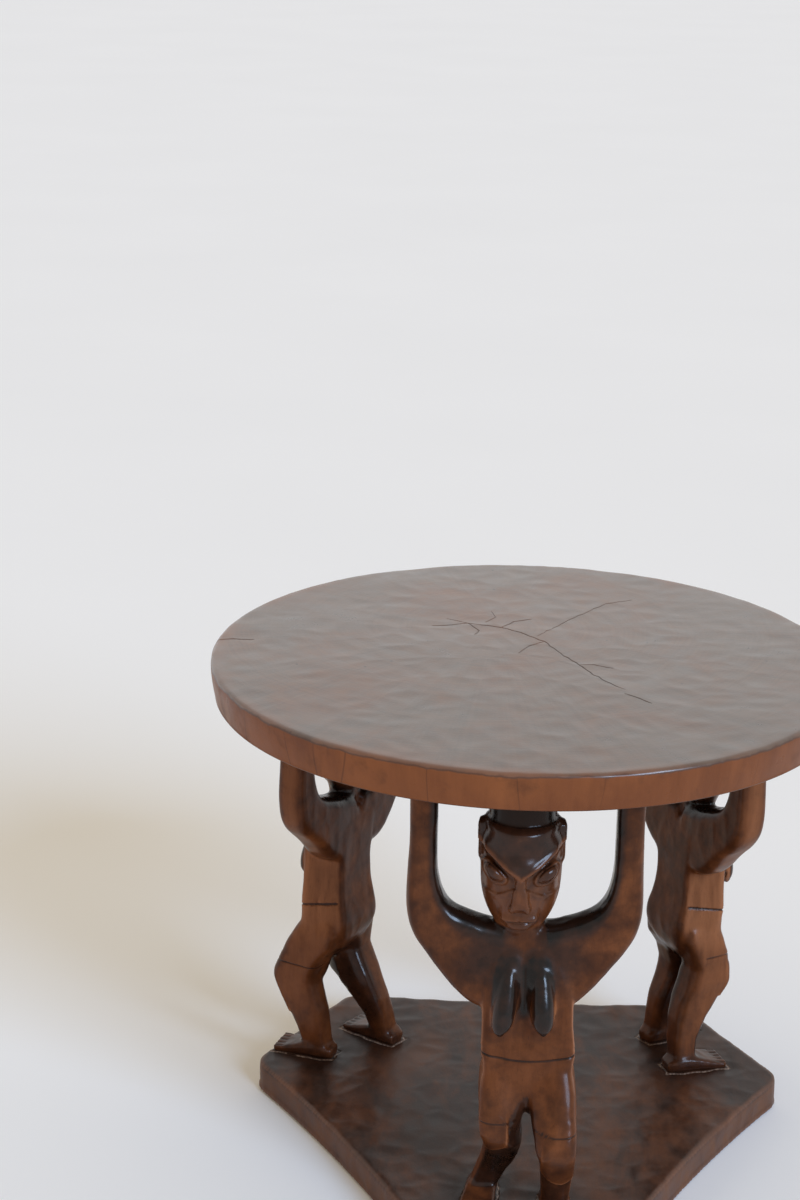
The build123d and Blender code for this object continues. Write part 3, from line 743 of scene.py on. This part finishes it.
def figure_piece(name, material):
    """One figure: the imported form, netted, rubbed down, then carved and stained in its own frame."""
    turn, left_ankle, right_ankle = FEET[name]
    waist, right_knee, left_knee, armpit, shank_in = CUTS[name]
    stand = (Matrix.Rotation(math.radians(turn), 4, "Z")
             @ Matrix.Translation((0, -FIGURE_AXIS * MM, SLAB_THICKNESS)))
    blank = cad_copy(name)
    bmesh.ops.transform(blank, matrix=stand.inverted(), verts=blank.verts)
    net = evenly_netted(blank, FIGURE_VOXEL)
    smoothed(net, 4)
    halved(net, lambda x, y, z: (z > 276) & (z < 392) & (y < -2) & (np.abs(x - HEAD_MIDDLE) < FACE_REACH))
    halved(net, lambda x, y, z: (np.abs(z - waist_line(x, -y, waist)) < 3.5) & (y < 20))
    halved(net, lambda x, y, z: (y < 0) & (
        np.abs(z - np.where(x > TRUNK_MIDDLE, left_knee, right_knee) - 1) < 4))
    halved(net, lambda x, y, z: (z < 14) & (y < -18))
    smoothed(net, 1)
    recut(net, armpit, shank_in)

    places, normals = places_and_normals(net)
    x, y, z = (places / MM).T
    front = -normals[:, 1]
    facets = bowls(places * np.array([1, 1, 0.5]), KNIFE_CUT, turn + 2.0) * KNIFE_CUT_DEPTH
    sway = waves(places, SWAY, turn + 5.0) * SWAY_DEPTH
    cut = waist_and_knees(x, -y, z, waist, right_knee, left_knee)
    toes = toe_cuts(x, -y, z, (left_ankle, right_ankle)) * ramp(normals[:, 2], 0.0, 0.4)
    tongue, tongue_edge = tongues(x, z, front)
    on_head = ramp(z, 288, 296) * (np.abs(x - HEAD_MIDDLE) < FACE_REACH)
    inner = np.clip(-normals[:, 0] * np.sign(x - ARCH_MIDDLE), 0, 1) * ramp(np.abs(x - ARCH_MIDDLE), 24, 18)
    out = face(x, z, front) + THIGHS_CLOSER * inner * band(z, 55, 80, 94, 108)
    out = out + TONGUE_STANDS_OUT * tongue - WAIST_DEPTH * cut - TOE_CUT_DEPTH * toes
    out = out - (facets + sway + 0.2) * (1 - 0.7 * on_head)
    clear = band(z, 0.0, 2.0, FIGURE_HEIGHT - 2, FIGURE_HEIGHT)
    places = places + normals * (out * clear * MM)[:, None]
    # The forearms' ends and the soles go a little way into the top and the slab, so that no gap shows
    places[:, 2] += (ramp(z, FIGURE_HEIGHT - 6, FIGURE_HEIGHT) * 1.2 - ramp(z, 3, 0) * 2.4) * MM
    moved_to(net, places)
    smoothed(net, 1, 0.2)

    _, normals = places_and_normals(net)
    front = -normals[:, 1]
    # Below 0 the wood is painted lighter than where it was never stained: worn edges, and painted light on
    # the flanks
    darkness = stain_and_shade(x, -y, z, front, tongue) - 0.4 * tongue_edge
    # Painted light on surfaces that face sideways
    wear_and_side_light = np.interp(z, SIDE_LIGHT_HEIGHTS, SIDE_LIGHT_AMOUNTS) * ramp(np.abs(normals[:, 0]), 0.6, 0.95)
    darkness = darkness - wear_and_side_light
    darkness = darkness + (0.8 - darkness) * np.clip(np.maximum(cut, toes), 0, 1)
    on_face = ramp(z, 284, 292) * (z < CROWN - 2) * (np.abs(x - HEAD_MIDDLE) < FACE_REACH)
    bmesh.ops.transform(net, matrix=stand, verts=net.verts)
    piece = finished(net, "carved_" + name, material)
    # The stain values also carry the painted shade of the valley and the arch, and the painted light of the
    # flanks
    marked(piece, "stain", darkness)
    marked(piece, "handled", on_face * ramp(front, 0.0, 0.4))
    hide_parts(name)


figure_wood = carved_wood()
for figure_name in FEET:
    figure_piece(figure_name, figure_wood)

# ---------------------------------------------------------------------------------------------------------
# Round top. It was sawn across the log, so its face is end grain, adzed level and waxed to a grey-brown
# gloss. The rim is lighter and redder, and a star of drying cracks runs out from the heart of the log.
# ---------------------------------------------------------------------------------------------------------

TOP_RADIUS = 300 * MM
TOP_HEIGHT = 495 * MM
TOP_THICKNESS = 36 * MM
TOP_UNDERSIDE = TOP_HEIGHT - TOP_THICKNESS
TOP_FLAT = TOP_HEIGHT / MM - 3  # height in millimetres over which only the face is
LOG_HEART = (-30 * MM, 88 * MM)
RIM_HEIGHT = TOP_HEIGHT - 4 * MM  # where the colour of the face gives way to that of the rim

# Rounding of the upper edge, lean of the rim and rounding of the lower edge
EDGE_WIDTH = 6 * MM
EDGE_DROP = 5 * MM
RIM_LEAN = 4 * MM
UNDER_ROUNDING = 3 * MM

# How finely the disc is netted: round its axis, and along its face, upper edge, rim, lower edge and underside
TOP_STEPS = 352
FACE_STEPS = 74
EDGE_STEPS = 6
RIM_STEPS = 14
UNDER_EDGE_STEPS = 4
UNDER_STEPS = 12

# Adze cuts and swells on the face, and swells and small cuts round the rim: size over the surface, and depth
# in millimetres
TOP_BOWL = 34 * MM
TOP_BOWL_DEPTH = 0.55
TOP_WAVE = 80 * MM
TOP_WAVE_DEPTH = 1.4
RIM_WAVE = 60 * MM
RIM_WAVE_DEPTH = 1.5
RIM_CUT = 16 * MM
RIM_CUT_DEPTH = 0.44

# Sizes of the patterns in the wood: the rings and how far they wander, patches, smears, pores, pits, and the
# streaks and splits of the rim
TOP_RING = 3.846 * MM
RING_WANDER = 26.92 * MM
RING_WOBBLE = 111.1 * MM
RAYS_TO_A_RADIAN = 38.0
TOP_PATCH = 125 * MM
TOP_SMEAR = 22.22 * MM
TOP_PORE = 1.667 * MM
TOP_PIT = 29.41 * MM
RIM_STREAK = 16.67 * MM
RIM_SPLIT = 71.43 * MM

# Drying cracks on the face, in millimetres from the middle: half width and depth, then the route
CRACKS = [
    (0.7, 1.1, [(-78, 108), (-57, 96), (-24, 84), (-1, 64), (17, 45), (31, 11), (48, -20), (71, -65),
                (88, -85)]),
    (0.55, 0.7, [(10, 59), (41, 111), (82, 170), (109, 186)]),
    (0.7, 1.0, [(87, -96), (99, -107), (110, -120)]),
    (0.7, 1.6, [(-299, 24), (-282, 27), (-262, 28)]),
    (0.8, 0.9, [(-57, 96), (-46, 74), (-50, 60)]),
    (0.7, 0.8, [(-24, 84), (-12, 104), (6, 112)]),
    (0.6, 0.8, [(17, 45), (2, 30), (-8, 8)]),
    (0.7, 0.8, [(-92, 84), (-74, 88), (-57, 96)]),
    (0.6, 0.7, [(-40, 100), (-30, 116), (-34, 134)]),
    (0.6, 0.7, [(48, -20), (62, -18), (80, -26)]),
]
CRACK_REACHES = (6.0, 3.2, 1.9)  # how far from a crack the net is halved once, twice and three times
CRACK_RUN = 7  # length of the straight runs of a crack
CRACK_JUMP = 2.2  # how far it jumps aside between them
CRACK_HALO = 3.5  # how far the wood beside it is darker


def wandering(route, seed):
    """A crack's route with small turns added: short straight runs between points that jump aside."""
    points = []
    for n, (start, end) in enumerate(zip(route, route[1:])):
        a, b = Vector(start), Vector(end)
        side = Vector((-(b - a).y, (b - a).x)).normalized()
        count = max(2, round((b - a).length / CRACK_RUN))
        for k in range(count):
            jump = noise.noise(Vector((seed, 3.1 * n, 0.9 * k))) * CRACK_JUMP
            points.append(a.lerp(b, k / count) + side * jump)
    return points + [Vector(route[-1])]


def top_profile():
    """Half section of the disc from the middle of its face round the rim to the middle underneath."""
    flat = TOP_RADIUS - EDGE_WIDTH
    flat_under = TOP_RADIUS - RIM_LEAN - UNDER_ROUNDING
    profile = [(n / FACE_STEPS * flat, TOP_HEIGHT) for n in range(FACE_STEPS + 1)]
    for n in range(1, EDGE_STEPS + 1):
        angle = n / EDGE_STEPS * math.pi / 2
        drop = EDGE_DROP * (1 - math.cos(angle))
        profile.append((flat + EDGE_WIDTH * math.sin(angle), TOP_HEIGHT - drop))
    for n in range(1, RIM_STEPS + 1):
        share = n / RIM_STEPS
        drop = EDGE_DROP + (TOP_THICKNESS - EDGE_DROP - UNDER_ROUNDING) * share
        profile.append((TOP_RADIUS - RIM_LEAN * share**1.5, TOP_HEIGHT - drop))
    for n in range(1, UNDER_EDGE_STEPS + 1):
        angle = n / UNDER_EDGE_STEPS * math.pi / 2
        raised = UNDER_ROUNDING * (1 - math.sin(angle))
        profile.append((flat_under + UNDER_ROUNDING * math.cos(angle), TOP_UNDERSIDE + raised))
    for n in range(1, UNDER_STEPS + 1):
        profile.append((flat_under * (1 - n / UNDER_STEPS), TOP_UNDERSIDE))
    return profile


def top_wood():
    """End grain under old wax: grey bloom over red-brown, faint rings and rays about the heart of the log,
    a warmer rim with upright grain, and dark cracks."""
    material, add = new_material("waxed_end_grain")
    place = add("TexCoord", output="Object")
    height = add("SeparateXYZ", [place], "Z")
    patch = add("TexNoise", {"Vector": place, "Scale": 1 / TOP_PATCH, "Detail": 5.0, "Roughness": 0.6,
                             "Distortion": 0.4})
    smear = add("TexNoise", {"Vector": place, "Scale": 1 / TOP_SMEAR, "Detail": 5.0, "Roughness": 0.6})
    pore = add("TexNoise", {"Vector": place, "Scale": 1 / TOP_PORE, "Detail": 3.0})

    heart = add("Mapping", {"Vector": place, "Location": (-LOG_HEART[0], -LOG_HEART[1], 0),
                            "Scale": (1, 1, 0)})
    off_heart = add("VectorMath", [heart], "Value", operation="LENGTH")
    wobble = add("TexNoise", {"Vector": place, "Scale": 1 / RING_WOBBLE, "Detail": 3.0})
    wander = add("Math", [wobble, RING_WANDER], operation="MULTIPLY")
    wander = add("Math", [off_heart, wander])
    rings = add("TexNoise", {"W": wander, "Scale": 1 / TOP_RING, "Detail": 3.0}, noise_dimensions="1D")
    way = add("VectorMath", [heart], operation="NORMALIZE")
    rays = add("TexNoise", {"Vector": way, "Scale": RAYS_TO_A_RADIAN, "Detail": 6.0, "Roughness": 0.7})

    share = add("MapRange", [smear, 0.35, 0.65, 0.0, 1.0])
    red = add("Mix", {0: share, 6: "#623e2a", 7: "#7b5037"}, 2, data_type="RGBA")
    reddish = add("Math", [add("MapRange", [patch, 0.44, 0.66, 0.0, 0.6]),
                           add("MapRange", [off_heart, 20 * MM, 210 * MM, 0.35, 0.0])])
    check = add("Math", [add("MapRange", [rays, 0.6, 0.66, 0.0, 0.6]),
                         add("MapRange", [off_heart, 30 * MM, 75 * MM, 1.0, 0.0])], operation="MULTIPLY")
    pit = add("TexVoronoi", {"Vector": place, "Scale": 1 / TOP_PIT}, "Distance")
    rare = add("SeparateXYZ", [pit.node.outputs["Color"]], "X")
    pits = add("Math", [add("MapRange", [pit, 0.03, 0.06, 0.7, 0.0]),
                        add("MapRange", [rare, 0.6, 0.62, 0.0, 1.0])], operation="MULTIPLY")
    flat = add("Mapping", {"Vector": place, "Scale": (1, 1, 0)})
    off_axis = add("VectorMath", [flat], "Value", operation="LENGTH")
    # Wear: the face is rubbed redder near the rim
    wear_and_side_light = add("Math", [add("MapRange", [off_axis, 283 * MM, 295 * MM, 0.0, 0.6]),
                          add("MapRange", [patch, 0.4, 0.6, 0.1, 1.0])], operation="MULTIPLY")

    upright = add("Mapping", {"Vector": place, "Scale": (1, 1, 0.12)})
    streak = add("TexNoise", {"Vector": upright, "Scale": 1 / RIM_STREAK, "Detail": 5.0, "Roughness": 0.65})
    split = add("TexVoronoi", {"Vector": upright, "Scale": 1 / RIM_SPLIT}, "Distance",
                feature="DISTANCE_TO_EDGE")
    split = add("Math", [add("MapRange", [split, 0.0, 0.01, 0.6, 0.0]),
                         add("MapRange", [patch, 0.42, 0.55, 0.0, 1.0])], operation="MULTIPLY")
    share = add("MapRange", [streak, 0.32, 0.68, 0.0, 1.0])
    rim = add("Mix", {0: share, 6: "#6b3b20", 7: "#7a4627"}, 2, data_type="RGBA")
    for share, layer in (
        (add("MapRange", [patch, 0.45, 0.7, 0.0, 0.5]), "#96592f"),
        (add("MapRange", [smear, 0.55, 0.75, 0.0, 0.5]), "#4c2a18"),
        (split, "#4a2a1a"),
    ):
        rim = add("Mix", {0: share, 6: rim, 7: layer}, 2, data_type="RGBA")
    ragged = add("Math", [height, add("MapRange", [smear, 0.3, 0.7, -1.2 * MM, 1.2 * MM])])
    on_rim = add("MapRange", [ragged, RIM_HEIGHT + 1.2 * MM, RIM_HEIGHT - 1.0 * MM, 0.0, 1.0])
    off_line = add("Math", [ragged, RIM_HEIGHT + 0.4 * MM], operation="SUBTRACT")
    off_line = add("Math", [off_line], operation="ABSOLUTE")
    crack = add("Math", [add("Attribute", output="Fac", attribute_name="crack"), 0.55], operation="MULTIPLY")

    share = add("MapRange", [smear, 0.32, 0.68, 0.0, 1.0])
    wood = add("Mix", {0: share, 6: "#45352a", 7: "#5e493a"}, 2, data_type="RGBA")
    for share, layer in (
        (reddish, red),
        (add("MapRange", [rings, 0.3, 0.7, 0.0, 0.16]), "#2c1f1b"),
        (add("MapRange", [rays, 0.35, 0.7, 0.0, 0.2]), "#77594c"),
        (check, "#2c1a13"),
        (pits, "#2a1a14"),
        (wear_and_side_light, "#7a4a2e"),
        (on_rim, rim),
        (add("MapRange", [off_line, 0.0, 1.3 * MM, 0.75, 0.0]), "#3f2418"),
        (crack, "#2a1811"),
        (add("MapRange", [height, TOP_UNDERSIDE + 1.5 * MM, TOP_UNDERSIDE + 0.5 * MM, 0.0, 0.6]), "#3c261c"),
    ):
        wood = add("Mix", {0: share, 6: wood, 7: layer}, 2, data_type="RGBA")

    relief = add("Math", [pore, smear])
    grain = add("Bump", {"Height": relief, "Strength": 0.3, "Distance": 0.35 * MM})
    shine = add("Math", [add("MapRange", [smear, 0.3, 0.7, 0.24, 0.4]),
                         add("MapRange", [patch, 0.35, 0.65, 0.0, 0.14])])
    polish = add("MapRange", [on_rim, 0.0, 1.0, 1.0, 0.05])
    wax = add("BsdfPrincipled", {"Base Color": wood, "Roughness": shine, "Normal": grain,
                                 "Specular IOR Level": 0.2, "Coat Weight": polish, "Coat Roughness": 0.26})
    add("OutputMaterial", [wax])
    return material


def table_top():
    """The disc, turned about its axis, then adzed, worn out of round and cracked."""
    disc = bmesh.new()
    verts = [disc.verts.new((radius, 0, height)) for radius, height in top_profile()]
    edges = [disc.edges.new(pair) for pair in zip(verts, verts[1:])]
    bmesh.ops.spin(disc, geom=verts + edges, cent=(0, 0, 0), axis=(0, 0, 1), angle=2 * math.pi,
                   steps=TOP_STEPS, use_merge=True)
    bmesh.ops.remove_doubles(disc, verts=disc.verts, dist=1e-6)
    bmesh.ops.recalc_face_normals(disc, faces=disc.faces)

    routes = [(width, depth, wandering(route, 5.0 * n)) for n, (width, depth, route) in enumerate(CRACKS)]
    for reach in CRACK_REACHES:
        halved(disc, lambda x, y, z: (z > TOP_FLAT) & (
            np.min([away_from(points, x, y)[0] for _, _, points in routes], axis=0) < reach))

    places, normals = places_and_normals(disc)
    x, y, z = (places / MM).T
    around = np.stack([x, y, z * 0.3], axis=1) * MM
    cut = bowls(places, TOP_BOWL, 8.0) * TOP_BOWL_DEPTH
    cut = cut + (waves(places, TOP_WAVE, 2.0) + 1) / 2 * TOP_WAVE_DEPTH
    hewn = (waves(around, RIM_WAVE, 6.0) + 1) / 2 * RIM_WAVE_DEPTH
    hewn = hewn + (waves(around, RIM_CUT, 7.0) + 1) / 2 * RIM_CUT_DEPTH
    rim = 1 - ramp(normals[:, 2], 0.3, 0.9)
    under = TOP_UNDERSIDE / MM
    lowered = ((1 - rim) * cut + rim * hewn) * ramp(z, under + 0.3, under + 2)
    crack = np.zeros(len(x))
    on_face = z > TOP_FLAT
    for width, depth, points in routes:
        gap, passed = away_from(points, x, y)
        taper = np.sqrt(np.clip(np.minimum(passed, 1 - passed) * 5, 0, 1)) * 0.75 + 0.25
        notch = np.clip(1.15 - gap / (width * taper), 0, 1) * on_face
        lowered = lowered + notch * depth
        halo = 0.3 * mound(gap, CRACK_HALO) * taper * on_face
        crack = np.maximum(crack, np.maximum(notch * 0.7, halo))
    moved_to(disc, places - normals * (lowered * MM)[:, None])

    piece = finished(disc, "round_table_top", top_wood())
    marked(piece, "crack", crack)
    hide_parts("table_top")


table_top()

# ---------------------------------------------------------------------------------------------------------
# Pegs. Plain turned dowels of the same hardwood, unstained, glued into the figures' ends. They are hidden
# inside the joints.
# ---------------------------------------------------------------------------------------------------------

PEG_NODES = ("forearm_pegs", "head_pegs", "foot_pegs")
PEG_STREAK = 2.381 * MM
GLUE_STAIN = 9.091 * MM


def peg_wood():
    """Raw turned dowel: straight upright grain, a little glue stain, no polish."""
    material, add = new_material("raw_peg_wood")
    place = add("TexCoord", output="Object")
    along = add("Mapping", {"Vector": place, "Scale": (1, 1, 0.08)})
    streak = add("TexNoise", {"Vector": along, "Scale": 1 / PEG_STREAK, "Detail": 4.0})
    glue = add("TexNoise", {"Vector": place, "Scale": 1 / GLUE_STAIN, "Detail": 3.0})
    share = add("MapRange", [streak, 0.35, 0.65, 0.0, 1.0])
    wood = add("Mix", {0: share, 6: "#8f6448", 7: "#b88a66"}, 2, data_type="RGBA")
    share = add("MapRange", [glue, 0.55, 0.7, 0.0, 0.5])
    wood = add("Mix", {0: share, 6: wood, 7: "#6b4a35"}, 2, data_type="RGBA")
    grain = add("Bump", {"Height": streak, "Strength": 0.4, "Distance": 0.2 * MM})
    raw = add("BsdfPrincipled", {"Base Color": wood, "Normal": grain, "Roughness": 0.7})
    add("OutputMaterial", [raw])
    return material


dowel_wood = peg_wood()
for peg_node in PEG_NODES:
    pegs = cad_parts[peg_node]
    pegs.data.materials.clear()
    pegs.data.materials.append(dowel_wood)
